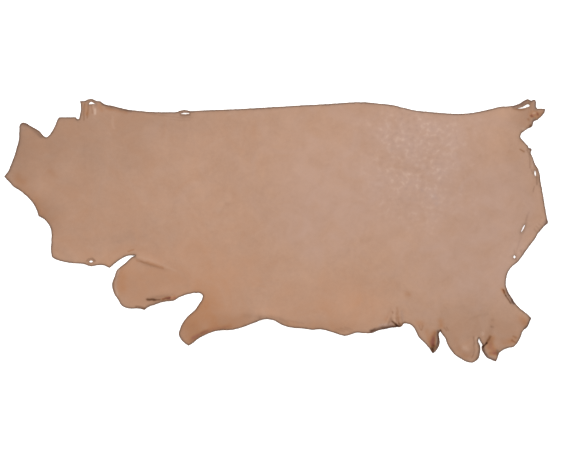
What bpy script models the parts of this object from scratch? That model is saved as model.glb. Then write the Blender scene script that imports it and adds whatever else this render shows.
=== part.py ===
"""A leather side: half a cattle hide, cut along the back line, lying on a flat surface with its grain side up.

The neck points to -X, the tail to +X, the back line runs along +Y and the belly along -Y. The underside
rests on Z = 0, and the origin is the middle of the hide's outline. Curled rims, tips and folds rise from there.
"""

import bmesh
import bpy
import numpy as np
from mathutils import Vector
from mathutils.geometry import delaunay_2d_cdt

MM = 0.001

# Driving dimensions
HIDE_LENGTH = 2390 * MM
HIDE_THICKNESS = 2.4 * MM

# The outline's tables are drawn for a hide of this length
DRAWN_LENGTH = 2390 * MM

# How finely the outline and the surface are divided
RIM_STEP = 11 * MM
HOLE_STEP = 7 * MM
CREST_STEP = 10 * MM
FOLD_STEP = 14 * MM
FLAT_STEP = 75 * MM

# How close a point of the surface may lie to the points before it
CREST_CLEARANCE = 7 * MM
FOLD_CLEARANCE = 10 * MM
FLAT_CLEARANCE = 40 * MM

# Edges that turn more than this are drawn sharp, as at the cut rim
SHARP_ANGLE = np.radians(40)

# A fold's foot lies flat where the hide would rise less than this
FOLD_FOOT = 0.5 * MM

# The triangulation's setting that fills the rim, and the distance under which two points are one
WITHIN_RIM = 1
SAME_POINT = 1e-7

LEATHER_COLOR = (0.479, 0.296, 0.209, 1.0)
LEATHER_ROUGHNESS = 0.6

# The rim, clockwise from the nose tip. Each stretch starts at a corner and is one smooth curve through its
# points to the first point of the next stretch. Columns: x and y in millimetres.
RIM = {
    "neck edge": (
        (-1195, 238), (-1180, 259), (-1166, 292), (-1152, 329), (-1141, 368), (-1132, 401), (-1130, 443),
        (-1127, 465), (-1120, 473), (-1111, 476), (-1100, 473), (-1083, 463), (-1037, 434), (-1024, 419),
        (-1012, 412), (-1000, 419), (-990, 432), (-976, 455), (-958, 494),
    ),
    "neck step": ((-954, 499),),
    "withers notch": ((-881, 500), (-874, 491), (-868, 492), (-864, 506), (-859, 531), (-860, 556)),
    "withers tab": (
        (-864, 570), (-838, 573), (-828, 577), (-812, 580), (-799, 575), (-788, 571), (-772, 569),
        (-763, 562),
    ),
    "back": (
        (-754, 556), (-722, 550), (-682, 540), (-652, 533), (-608, 528), (-546, 523), (-476, 522),
        (-434, 524), (-421, 528), (-401, 530), (-379, 527), (-335, 529), (-159, 536), (17, 546),
        (131, 553), (228, 558), (299, 563), (360, 566), (400, 565), (448, 560), (501, 555), (563, 541),
        (616, 529), (677, 523), (743, 517), (809, 515), (853, 518), (906, 527), (954, 538), (985, 546),
        (1020, 548),
    ),
    "tail strap": ((1047, 551), (1069, 558), (1086, 569)),
    "tail top": ((1106, 579), (1114, 573), (1121, 571), (1130, 575), (1139, 574), (1141, 566), (1142, 544)),
    "tail step": ((1147, 537),),
    "tail tip": (
        (1181, 535), (1179, 520), (1170, 507), (1151, 489), (1129, 477), (1128, 467), (1123, 457),
        (1109, 450), (1092, 438), (1079, 428), (1075, 413), (1085, 398), (1100, 381),
    ),
    "rump": (
        (1107, 374), (1111, 365), (1120, 363), (1124, 356), (1120, 346), (1130, 317), (1138, 292),
        (1149, 275), (1157, 253), (1163, 214), (1170, 179), (1182, 108), (1188, 73),
    ),
    "thigh": (
        (1195, 34), (1181, 22), (1168, 6), (1151, -14), (1139, -35), (1107, -75), (1078, -118),
        (1062, -138), (1042, -154), (1027, -170), (1018, -188), (1012, -213), (1011, -239), (1015, -257),
        (1040, -301), (1054, -321), (1071, -339), (1112, -374),
    ),
    "heel": (
        (1120, -383), (1114, -399), (1107, -418), (1101, -428), (1093, -433), (1083, -446), (1077, -462),
        (1057, -499), (1047, -510), (1020, -516), (996, -526), (983, -534), (976, -548), (970, -563),
    ),
    "hock lobe": ((965, -574), (946, -567), (930, -560), (913, -540), (905, -524), (903, -512)),
    "hock slit": ((908, -503), (899, -489)),
    "middle lobe": (
        (892, -473), (888, -486), (895, -502), (897, -525), (894, -544), (888, -562), (876, -574),
        (864, -580), (839, -577), (814, -564), (789, -548), (770, -527), (753, -500), (743, -472),
        (731, -456),
    ),
    "stifle slit": ((722, -443), (717, -450), (719, -474), (720, -491), (712, -515), (699, -531)),
    "flank": (
        (686, -539), (676, -520), (644, -485), (628, -469), (616, -447), (607, -429), (592, -414),
        (573, -409), (561, -409), (553, -418),
    ),
    "belly": (
        (544, -424), (524, -424), (503, -428), (477, -432), (448, -440), (422, -450), (387, -451),
        (352, -449), (327, -457), (303, -463), (281, -458), (250, -448), (220, -439), (183, -434),
        (165, -436), (123, -431), (55, -424), (19, -411), (-5, -396), (-51, -389), (-89, -402),
        (-159, -428), (-198, -437), (-247, -439), (-277, -445), (-312, -459), (-343, -476), (-370, -497),
    ),
    "fore shank": (
        (-385, -505), (-401, -494), (-418, -477), (-428, -457), (-423, -431), (-402, -391), (-378, -366),
        (-359, -350), (-341, -324), (-327, -302), (-324, -285), (-335, -275), (-352, -274), (-388, -280),
        (-423, -292), (-449, -307), (-489, -311), (-533, -324), (-564, -337),
    ),
    "elbow lobe": (
        (-579, -349), (-599, -343), (-630, -343), (-656, -341), (-681, -327), (-694, -306), (-712, -276),
        (-719, -254), (-720, -229), (-711, -204), (-700, -174), (-691, -164), (-665, -143), (-638, -118),
    ),
    "elbow slit": ((-621, -109), (-643, -109), (-669, -117), (-700, -137)),
    "throat": (
        (-732, -164), (-757, -153), (-792, -153), (-812, -157), (-841, -148), (-898, -143), (-942, -135),
        (-973, -124),
    ),
    "jaw": ((-985, -116), (-990, -85), (-989, -41), (-989, -2), (-996, 20), (-1017, 47)),
    "cheek": (
        (-1044, 65), (-1053, 90), (-1070, 121), (-1105, 158), (-1131, 179), (-1151, 190), (-1174, 214),
    ),
}

# Torn stretching holes near the rim, as corners joined by straight cuts. Columns: x and y in millimetres.
TORN_HOLES = {
    "withers hole": ((-824, 557), (-818, 566), (-812, 568), (-803, 563), (-795, 558)),
    "tail hole": (
        (1060, 538), (1084, 544), (1100, 555), (1107, 557), (1115, 552), (1113, 547), (1101, 543), (1079, 537),
    ),
}

# Stretching holes pulled to a lens. Columns: name, x and y of its two ends, and its width, in millimetres.
LENS_HOLES = (
    ("back hole", -418, 515, -381, 516, 6),
    ("throat hole", -822, -136, -806, -135, 7),
    ("rump hole", 1138, 265, 1141, 240, 6),
    ("thigh hole", 1094, 26, 1078, -6, 5),
    ("thigh point hole", 1047, -109, 1049, -121, 10),
)
LENS_POINTS = 12

# Folds, curled rims and raised tips. Columns: name, how far the hide falls away to the left and to the right
# of the crest, and the crest's points as x, y and height, all in millimetres.
FOLDS = (
    ("nose tip", 22, 22, ((-1195, 238, 12), (-1160, 236, 0))),
    ("poll", 22, 22, ((-1111, 476, 9), (-1096, 438, 0))),
    ("cheek corner", 18, 18, ((-1044, 65, 8), (-1017, 91, 0))),
    ("jaw corner", 18, 18, ((-985, -116, 8), (-960, -94, 0))),
    ("throat corner", 16, 16, ((-732, -164, 9), (-748, -138, 0))),
    ("withers strap", 9, 9, ((-827, 572, 5), (-812, 576, 7), (-797, 570, 5))),
    ("back strap", 8, 8, ((-420, 523, 4), (-401, 526, 6), (-380, 523, 4))),
    ("elbow ridge", 22, 9, ((-614, -114, 6), (-581, -131, 12), (-546, -144, 12), (-511, -155, 8), (-458, -175, 0))),
    ("elbow rim", 14, 14, ((-691, -164, 4), (-711, -204, 9), (-721, -250, 9), (-712, -276, 5))),
    ("elbow tuck", 8, 11, ((-572, -336, 6), (-533, -319, 11), (-489, -306, 11), (-454, -303, 5))),
    ("elbow pillow", 24, 12, ((-580, -300, 2), (-546, -284, 7), (-480, -276, 7), (-430, -272, 0))),
    ("shank tip", 25, 25, ((-385, -505, 16), (-396, -468, 7), (-388, -428, 0))),
    ("belly wave", 42, 42, ((-137, -424, 0), (-88, -404, 9), (-49, -389, 16), (-5, -396, 12), (44, -420, 0))),
    ("belly pucker, fore", 9, 9, ((475, -428, 13), (497, -380, 8), (519, -340, 0))),
    ("belly pucker, middle", 9, 9, ((521, -424, 18), (519, -384, 10), (525, -349, 0))),
    ("belly pucker, hind", 9, 9, ((547, -420, 12), (543, -376, 7), (539, -336, 0))),
    ("stifle tip", 16, 10, ((686, -538, 22), (688, -503, 16), (692, -450, 6), (697, -415, 0))),
    ("middle lobe crown", 28, 28, ((836, -521, 12), (800, -486, 3))),
    ("middle lobe rim", 10, 10, ((889, -486, 6), (896, -534, 8), (871, -575, 5))),
    ("hock tip", 20, 20, ((967, -574, 18), (950, -534, 9), (937, -499, 0))),
    ("hock ridge", 12, 12, ((908, -490, 8), (915, -450, 5), (924, -415, 0))),
    ("hock swell", 18, 18, ((972, -512, 7), (959, -472, 5), (963, -433, 0))),
    ("heel tip", 28, 28, ((1122, -383, 18), (1100, -393, 10), (1060, -402, 0))),
    ("thigh tuck", 9, 7, ((1010, -252, 3), (1028, -283, 12), (1049, -314, 6))),
    ("thigh rim", 14, 14, ((1124, -40, 3), (1104, -65, 6), (1080, -104, 4))),
    ("rump corner", 24, 24, ((1194, 34, 10), (1161, 42, 0))),
    ("rump rim", 14, 14, ((1124, 328, 4), (1146, 280, 9), (1159, 223, 7), (1170, 170, 2))),
    ("tail strap crest", 9, 9, ((1056, 546, 4), (1086, 560, 9), (1111, 569, 12))),
    ("tail end crest", 12, 12, ((1135, 562, 10), (1130, 518, 8), (1122, 465, 12))),
    ("tail tip crest", 14, 14, ((1179, 531, 14), (1148, 513, 4))),
)


def unit(vector):
    return vector / np.linalg.norm(vector)


def smooth_curve(corners, step):
    """Points about one step apart on a cubic through the corners, without the last corner.

    The parameter is the chord length. A corner's slope is the mean of its two chords' slopes, each weighted
    by the other chord's length, so that the curve stays close to its points.
    """
    corners = np.array(corners, float)
    chords = np.hypot(*np.diff(corners, axis=0).T)
    slopes = np.diff(corners, axis=0) / chords[:, None]
    before, after = chords[:-1, None], chords[1:, None]
    inner = (slopes[:-1] * after + slopes[1:] * before) / (before + after)
    tangents = np.vstack((slopes[:1], inner, slopes[-1:]))
    pieces = []
    for i, chord in enumerate(chords):
        s = np.linspace(0, 1, max(2, round(chord / step) + 1))[:-1, None]
        pieces.append(
            (1 + 2 * s) * (1 - s) ** 2 * corners[i]
            + s * (1 - s) ** 2 * chord * tangents[i]
            + s**2 * (3 - 2 * s) * corners[i + 1]
            + s**2 * (s - 1) * chord * tangents[i + 1]
        )
    return np.vstack(pieces)


def rim_loop():
    """The closed rim, in metres."""
    stretches = list(RIM.values())
    following = stretches[1:] + stretches[:1]
    drawn = [
        smooth_curve(stretch + after[:1], RIM_STEP / MM)
        for stretch, after in zip(stretches, following)
    ]
    return np.vstack(drawn) * MM


def straight_loop(corners, step):
    """Points about one step apart on the straight sides of a closed polygon."""
    corners = np.array(corners, float)
    sides = zip(corners, np.roll(corners, -1, axis=0))
    return np.vstack([
        start + (end - start) * np.linspace(0, 1, max(2, round(np.hypot(*(end - start)) / step) + 1))[:-1, None]
        for start, end in sides
    ])


def lens_loop(x0, y0, x1, y1, width):
    """An ellipse whose long axis joins the two ends."""
    start, end = np.array((x0, y0), float), np.array((x1, y1), float)
    along = (end - start) / 2
    across = unit(np.array((-along[1], along[0]))) * width / 2
    angle = np.linspace(0, 2 * np.pi, LENS_POINTS, endpoint=False)[:, None]
    return (start + end) / 2 + np.cos(angle) * along + np.sin(angle) * across


def hole_loops():
    torn = [straight_loop(corners, HOLE_STEP / MM) * MM for corners in TORN_HOLES.values()]
    lenses = [lens_loop(*row[1:]) * MM for row in LENS_HOLES]
    return torn + lenses


def inside(points, loops):
    """True where a point lies in the rim and in no hole: a ray towards +X crosses the loops an odd number of times."""
    crossings = np.zeros(len(points), int)
    for loop in loops:
        for (x0, y0), (x1, y1) in zip(loop, np.roll(loop, -1, axis=0)):
            spans = (points[:, 1] < y0) != (points[:, 1] < y1)
            rise = np.where(spans, y1 - y0, 1)
            crossings += spans & (points[:, 0] < x0 + (points[:, 1] - y0) * (x1 - x0) / rise)
    return crossings % 2 == 1


def fold_height(points):
    """How high the underside lies over each point.

    Every fold adds its crest's height times exp(-(d / w)^2), with d the distance to the crest and w the fold's
    reach on that side. Where the sum is under the fold's foot, the hide lies flat.
    """
    total = np.zeros(len(points))
    for _, left, right, crest in FOLDS:
        crest = np.array(crest, float) * MM
        rise = np.zeros(len(points))
        for (x0, y0, h0), (x1, y1, h1) in zip(crest[:-1], crest[1:]):
            along = np.array((x1 - x0, y1 - y0))
            offset = points - (x0, y0)
            share = np.clip(offset @ along / (along @ along), 0, 1)
            distance = np.hypot(*(offset - share[:, None] * along).T)
            on_left = along[0] * offset[:, 1] - along[1] * offset[:, 0] > 0
            reach = np.where(on_left, left, right) * MM
            rise = np.maximum(rise, (h0 + share * (h1 - h0)) * np.exp(-((distance / reach) ** 2)))
        total += rise
    return np.maximum(total - FOLD_FOOT, 0)


def crest_points():
    """Points along each fold's crest, and beside it where the hide falls away fastest."""
    found = []
    for _, left, right, crest in FOLDS:
        route = np.array(crest, float)[:, :2] * MM
        for start, end in zip(route[:-1], route[1:]):
            length = np.linalg.norm(end - start)
            across = unit(np.array((start[1] - end[1], end[0] - start[0])))
            for share in np.linspace(0, 1, max(2, round(length / CREST_STEP) + 1)):
                middle = start + share * (end - start)
                found += [middle, middle + across * left * MM, middle - across * right * MM]
    return np.array(found)


def grid_points(step, low, high):
    """A grid of staggered rows between two corners."""
    rows = np.arange(low[1], high[1], step * np.sqrt(3) / 2)
    columns = np.arange(low[0], high[0], step)
    x, y = np.meshgrid(columns, rows)
    x = x + (np.arange(len(rows)) % 2 * step / 2)[:, None]
    return np.column_stack((x.ravel(), y.ravel()))


def with_spaced(taken, candidates, clearance):
    """The taken points, and each candidate in turn that keeps the clearance to all of them."""
    for point in candidates:
        if np.hypot(*(taken - point).T).min() >= clearance:
            taken = np.vstack((taken, point))
    return taken


def surface_points(loops):
    """Points within the outline: dense along and on the folds, and wide apart where the hide is flat."""
    rims = np.vstack(loops)
    low, high = rims.min(axis=0), rims.max(axis=0)
    crests = crest_points()
    fine = grid_points(FOLD_STEP, low, high)
    fine = fine[fold_height(fine) > 0]
    coarse = grid_points(FLAT_STEP, low, high)
    taken = rims
    for candidates, clearance in (
        (crests, CREST_CLEARANCE),
        (fine, FOLD_CLEARANCE),
        (coarse, FLAT_CLEARANCE),
    ):
        taken = with_spaced(taken, candidates[inside(candidates, loops)], clearance)
    return taken


def flat_triangles():
    """The hide's plan, cut into triangles between the rim and the holes. A triangle in a hole is left out."""
    loops = [rim_loop()] + hole_loops()
    points = surface_points(loops)
    edges = []
    for loop in loops:
        first = len(edges)
        last = first + len(loop) - 1
        edges += [(a, a + 1) for a in range(first, last)] + [(last, first)]
    plan, _, faces, *_ = delaunay_2d_cdt([Vector(p) for p in points], edges, [], WITHIN_RIM, SAME_POINT)
    plan, faces = np.array([tuple(p) for p in plan]), np.array(faces)
    middles = plan[faces].mean(axis=1)
    return plan, faces[inside(middles, loops)].tolist()


def make_hide(name):
    """The hide: its underside raised over each fold, the grain side one thickness over it, and the cut rim."""
    plan, faces = flat_triangles()
    scale = HIDE_LENGTH / DRAWN_LENGTH
    shell = bmesh.new()
    under = [shell.verts.new((x * scale, y * scale, z)) for (x, y), z in zip(plan, fold_height(plan))]
    under_faces = [shell.faces.new([under[i] for i in face]) for face in faces]
    for face in under_faces:
        face.normal_update()
        if face.normal.z < 0:
            face.normal_flip()
    cut_edges = [edge for edge in shell.edges if edge.is_boundary]
    shell.normal_update()
    grain = {vertex: shell.verts.new(vertex.co + vertex.normal * HIDE_THICKNESS) for vertex in under}
    for face in under_faces:
        shell.faces.new([grain[vertex] for vertex in face.verts])
    for edge in cut_edges:
        start, end = edge.verts
        shell.faces.new((start, end, grain[end], grain[start]))
    bmesh.ops.recalc_face_normals(shell, faces=shell.faces)

    mesh = bpy.data.meshes.new(name)
    shell.to_mesh(mesh)
    shell.free()
    mesh.shade_smooth()
    mesh.set_sharp_from_angle(angle=SHARP_ANGLE)
    hide = bpy.data.objects.new(name, mesh)
    bpy.context.scene.collection.objects.link(hide)
    return hide


def leather_material():
    material = bpy.data.materials.new("vegetable_tanned_leather")
    material.use_nodes = True
    shader = material.node_tree.nodes["Principled BSDF"]
    shader.inputs["Base Color"].default_value = LEATHER_COLOR
    shader.inputs["Roughness"].default_value = LEATHER_ROUGHNESS
    shader.inputs["Metallic"].default_value = 0
    return material


def main():
    for old in list(bpy.data.objects):
        bpy.data.objects.remove(old)
    side = make_hide("leather_side")
    side.data.materials.append(leather_material())


main()
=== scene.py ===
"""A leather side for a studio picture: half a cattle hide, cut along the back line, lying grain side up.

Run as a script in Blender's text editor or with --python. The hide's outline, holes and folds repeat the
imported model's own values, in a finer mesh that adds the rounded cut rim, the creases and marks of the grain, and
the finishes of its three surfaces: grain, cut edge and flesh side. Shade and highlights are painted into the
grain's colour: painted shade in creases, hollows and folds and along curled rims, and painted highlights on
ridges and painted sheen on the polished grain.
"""

import bpy
import numpy as np
from bpy.props import FloatProperty, FloatVectorProperty, PointerProperty
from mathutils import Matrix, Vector
from mathutils.geometry import delaunay_2d_cdt


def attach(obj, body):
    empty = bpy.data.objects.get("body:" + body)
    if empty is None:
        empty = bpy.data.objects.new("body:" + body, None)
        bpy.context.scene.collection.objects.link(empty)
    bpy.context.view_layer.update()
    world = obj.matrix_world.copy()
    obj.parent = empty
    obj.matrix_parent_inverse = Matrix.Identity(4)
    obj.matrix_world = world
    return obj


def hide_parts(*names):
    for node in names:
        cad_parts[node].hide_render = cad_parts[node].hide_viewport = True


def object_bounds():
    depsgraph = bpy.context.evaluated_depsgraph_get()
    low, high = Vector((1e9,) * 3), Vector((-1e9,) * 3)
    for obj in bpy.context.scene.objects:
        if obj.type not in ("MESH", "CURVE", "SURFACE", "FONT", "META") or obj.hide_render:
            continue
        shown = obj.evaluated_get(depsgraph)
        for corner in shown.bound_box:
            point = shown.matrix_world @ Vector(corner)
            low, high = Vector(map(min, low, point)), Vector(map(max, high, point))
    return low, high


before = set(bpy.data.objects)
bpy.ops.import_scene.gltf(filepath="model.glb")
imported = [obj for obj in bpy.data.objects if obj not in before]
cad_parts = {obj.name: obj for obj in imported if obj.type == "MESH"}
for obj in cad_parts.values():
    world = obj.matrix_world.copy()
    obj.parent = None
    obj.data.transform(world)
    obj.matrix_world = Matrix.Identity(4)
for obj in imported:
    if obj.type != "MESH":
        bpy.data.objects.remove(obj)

CAD_LOW, CAD_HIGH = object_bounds()
HIDE_LENGTH = CAD_HIGH[0] - CAD_LOW[0]
FLOOR_HEIGHT = CAD_LOW[2]

bl_info = {
    "name": "Leather Side",
    "version": (1, 0, 0),
    "blender": (4, 5, 0),
    "location": "3D View > Sidebar > Leather",
    "description": "Lays out a vegetable-tanned leather side with its rim, folds, creases and grain",
    "category": "Mesh",
}

MM = 0.001

# The outline's tables are drawn for a hide of this length
DRAWN_LENGTH = 2390 * MM

# A fold's foot lies flat where the hide would rise less than this
FOLD_FOOT = 0.5 * MM

# The rim, clockwise from the nose tip. Each stretch starts at a corner and is one smooth curve through its
# points to the first point of the next stretch. Columns: x and y in millimetres.
RIM = {
    "neck edge": (
        (-1195, 238), (-1180, 259), (-1166, 292), (-1152, 329), (-1141, 368), (-1132, 401), (-1130, 443),
        (-1127, 465), (-1120, 473), (-1111, 476), (-1100, 473), (-1083, 463), (-1037, 434), (-1024, 419),
        (-1012, 412), (-1000, 419), (-990, 432), (-976, 455), (-958, 494),
    ),
    "neck step": ((-954, 499),),
    "withers notch": ((-881, 500), (-874, 491), (-868, 492), (-864, 506), (-859, 531), (-860, 556)),
    "withers tab": (
        (-864, 570), (-838, 573), (-828, 577), (-812, 580), (-799, 575), (-788, 571), (-772, 569),
        (-763, 562),
    ),
    "back": (
        (-754, 556), (-722, 550), (-682, 540), (-652, 533), (-608, 528), (-546, 523), (-476, 522),
        (-434, 524), (-421, 528), (-401, 530), (-379, 527), (-335, 529), (-159, 536), (17, 546),
        (131, 553), (228, 558), (299, 563), (360, 566), (400, 565), (448, 560), (501, 555), (563, 541),
        (616, 529), (677, 523), (743, 517), (809, 515), (853, 518), (906, 527), (954, 538), (985, 546),
        (1020, 548),
    ),
    "tail strap": ((1047, 551), (1069, 558), (1086, 569)),
    "tail top": ((1106, 579), (1114, 573), (1121, 571), (1130, 575), (1139, 574), (1141, 566), (1142, 544)),
    "tail step": ((1147, 537),),
    "tail tip": (
        (1181, 535), (1179, 520), (1170, 507), (1151, 489), (1129, 477), (1128, 467), (1123, 457),
        (1109, 450), (1092, 438), (1079, 428), (1075, 413), (1085, 398), (1100, 381),
    ),
    "rump": (
        (1107, 374), (1111, 365), (1120, 363), (1124, 356), (1120, 346), (1130, 317), (1138, 292),
        (1149, 275), (1157, 253), (1163, 214), (1170, 179), (1182, 108), (1188, 73),
    ),
    "thigh": (
        (1195, 34), (1181, 22), (1168, 6), (1151, -14), (1139, -35), (1107, -75), (1078, -118),
        (1062, -138), (1042, -154), (1027, -170), (1018, -188), (1012, -213), (1011, -239), (1015, -257),
        (1040, -301), (1054, -321), (1071, -339), (1112, -374),
    ),
    "heel": (
        (1120, -383), (1114, -399), (1107, -418), (1101, -428), (1093, -433), (1083, -446), (1077, -462),
        (1057, -499), (1047, -510), (1020, -516), (996, -526), (983, -534), (976, -548), (970, -563),
    ),
    "hock lobe": ((965, -574), (946, -567), (930, -560), (913, -540), (905, -524), (903, -512)),
    "hock slit": ((908, -503), (899, -489)),
    "middle lobe": (
        (892, -473), (888, -486), (895, -502), (897, -525), (894, -544), (888, -562), (876, -574),
        (864, -580), (839, -577), (814, -564), (789, -548), (770, -527), (753, -500), (743, -472),
        (731, -456),
    ),
    "stifle slit": ((722, -443), (717, -450), (719, -474), (720, -491), (712, -515), (699, -531)),
    "flank": (
        (686, -539), (676, -520), (644, -485), (628, -469), (616, -447), (607, -429), (592, -414),
        (573, -409), (561, -409), (553, -418),
    ),
    "belly": (
        (544, -424), (524, -424), (503, -428), (477, -432), (448, -440), (422, -450), (387, -451),
        (352, -449), (327, -457), (303, -463), (281, -458), (250, -448), (220, -439), (183, -434),
        (165, -436), (123, -431), (55, -424), (19, -411), (-5, -396), (-51, -389), (-89, -402),
        (-159, -428), (-198, -437), (-247, -439), (-277, -445), (-312, -459), (-343, -476), (-370, -497),
    ),
    "fore shank": (
        (-385, -505), (-401, -494), (-418, -477), (-428, -457), (-423, -431), (-402, -391), (-378, -366),
        (-359, -350), (-341, -324), (-327, -302), (-324, -285), (-335, -275), (-352, -274), (-388, -280),
        (-423, -292), (-449, -307), (-489, -311), (-533, -324), (-564, -337),
    ),
    "elbow lobe": (
        (-579, -349), (-599, -343), (-630, -343), (-656, -341), (-681, -327), (-694, -306), (-712, -276),
        (-719, -254), (-720, -229), (-711, -204), (-700, -174), (-691, -164), (-665, -143), (-638, -118),
    ),
    "elbow slit": ((-621, -109), (-643, -109), (-669, -117), (-700, -137)),
    "throat": (
        (-732, -164), (-757, -153), (-792, -153), (-812, -157), (-841, -148), (-898, -143), (-942, -135),
        (-973, -124),
    ),
    "jaw": ((-985, -116), (-990, -85), (-989, -41), (-989, -2), (-996, 20), (-1017, 47)),
    "cheek": (
        (-1044, 65), (-1053, 90), (-1070, 121), (-1105, 158), (-1131, 179), (-1151, 190), (-1174, 214),
    ),
}

# Torn stretching holes near the rim, as corners joined by straight cuts. Columns: x and y in millimetres.
TORN_HOLES = {
    "withers hole": ((-824, 557), (-818, 566), (-812, 568), (-803, 563), (-795, 558)),
    "tail hole": (
        (1060, 538), (1084, 544), (1100, 555), (1107, 557), (1115, 552), (1113, 547), (1101, 543), (1079, 537),
    ),
}

# Stretching holes pulled to a lens. Columns: name, x and y of its two ends, and its width, in millimetres.
LENS_HOLES = (
    ("back hole", -418, 515, -381, 516, 6),
    ("throat hole", -822, -136, -806, -135, 7),
    ("rump hole", 1138, 265, 1141, 240, 6),
    ("thigh hole", 1094, 26, 1078, -6, 5),
    ("thigh point hole", 1047, -109, 1049, -121, 10),
)

# Folds, curled rims and raised tips. Columns: name, how far the hide falls away to the left and to the right
# of the crest, and the crest's points as x, y and height, all in millimetres.
FOLDS = (
    ("nose tip", 22, 22, ((-1195, 238, 12), (-1160, 236, 0))),
    ("poll", 22, 22, ((-1111, 476, 9), (-1096, 438, 0))),
    ("cheek corner", 18, 18, ((-1044, 65, 8), (-1017, 91, 0))),
    ("jaw corner", 18, 18, ((-985, -116, 8), (-960, -94, 0))),
    ("throat corner", 16, 16, ((-732, -164, 9), (-748, -138, 0))),
    ("withers strap", 9, 9, ((-827, 572, 5), (-812, 576, 7), (-797, 570, 5))),
    ("back strap", 8, 8, ((-420, 523, 4), (-401, 526, 6), (-380, 523, 4))),
    (
        "elbow ridge", 22, 9,
        ((-614, -114, 6), (-581, -131, 12), (-546, -144, 12), (-511, -155, 8), (-458, -175, 0)),
    ),
    ("elbow rim", 14, 14, ((-691, -164, 4), (-711, -204, 9), (-721, -250, 9), (-712, -276, 5))),
    ("elbow tuck", 8, 11, ((-572, -336, 6), (-533, -319, 11), (-489, -306, 11), (-454, -303, 5))),
    ("elbow pillow", 24, 12, ((-580, -300, 2), (-546, -284, 7), (-480, -276, 7), (-430, -272, 0))),
    ("shank tip", 25, 25, ((-385, -505, 16), (-396, -468, 7), (-388, -428, 0))),
    ("belly wave", 42, 42, ((-137, -424, 0), (-88, -404, 9), (-49, -389, 16), (-5, -396, 12), (44, -420, 0))),
    ("belly pucker, fore", 9, 9, ((475, -428, 13), (497, -380, 8), (519, -340, 0))),
    ("belly pucker, middle", 9, 9, ((521, -424, 18), (519, -384, 10), (525, -349, 0))),
    ("belly pucker, hind", 9, 9, ((547, -420, 12), (543, -376, 7), (539, -336, 0))),
    ("stifle tip", 16, 10, ((686, -538, 22), (688, -503, 16), (692, -450, 6), (697, -415, 0))),
    ("middle lobe crown", 28, 28, ((836, -521, 12), (800, -486, 3))),
    ("middle lobe rim", 10, 10, ((889, -486, 6), (896, -534, 8), (871, -575, 5))),
    ("hock tip", 20, 20, ((967, -574, 18), (950, -534, 9), (937, -499, 0))),
    ("hock ridge", 12, 12, ((908, -490, 8), (915, -450, 5), (924, -415, 0))),
    ("hock swell", 18, 18, ((972, -512, 7), (959, -472, 5), (963, -433, 0))),
    ("heel tip", 28, 28, ((1122, -383, 18), (1100, -393, 10), (1060, -402, 0))),
    ("thigh tuck", 9, 7, ((1010, -252, 3), (1028, -283, 12), (1049, -314, 6))),
    ("thigh rim", 14, 14, ((1124, -40, 3), (1104, -65, 6), (1080, -104, 4))),
    ("rump corner", 24, 24, ((1194, 34, 10), (1161, 42, 0))),
    ("rump rim", 14, 14, ((1124, 328, 4), (1146, 280, 9), (1159, 223, 7), (1170, 170, 2))),
    ("tail strap crest", 9, 9, ((1056, 546, 4), (1086, 560, 9), (1111, 569, 12))),
    ("tail end crest", 12, 12, ((1135, 562, 10), (1130, 518, 8), (1122, 465, 12))),
    ("tail tip crest", 14, 14, ((1179, 531, 14), (1148, 513, 4))),
)
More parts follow.
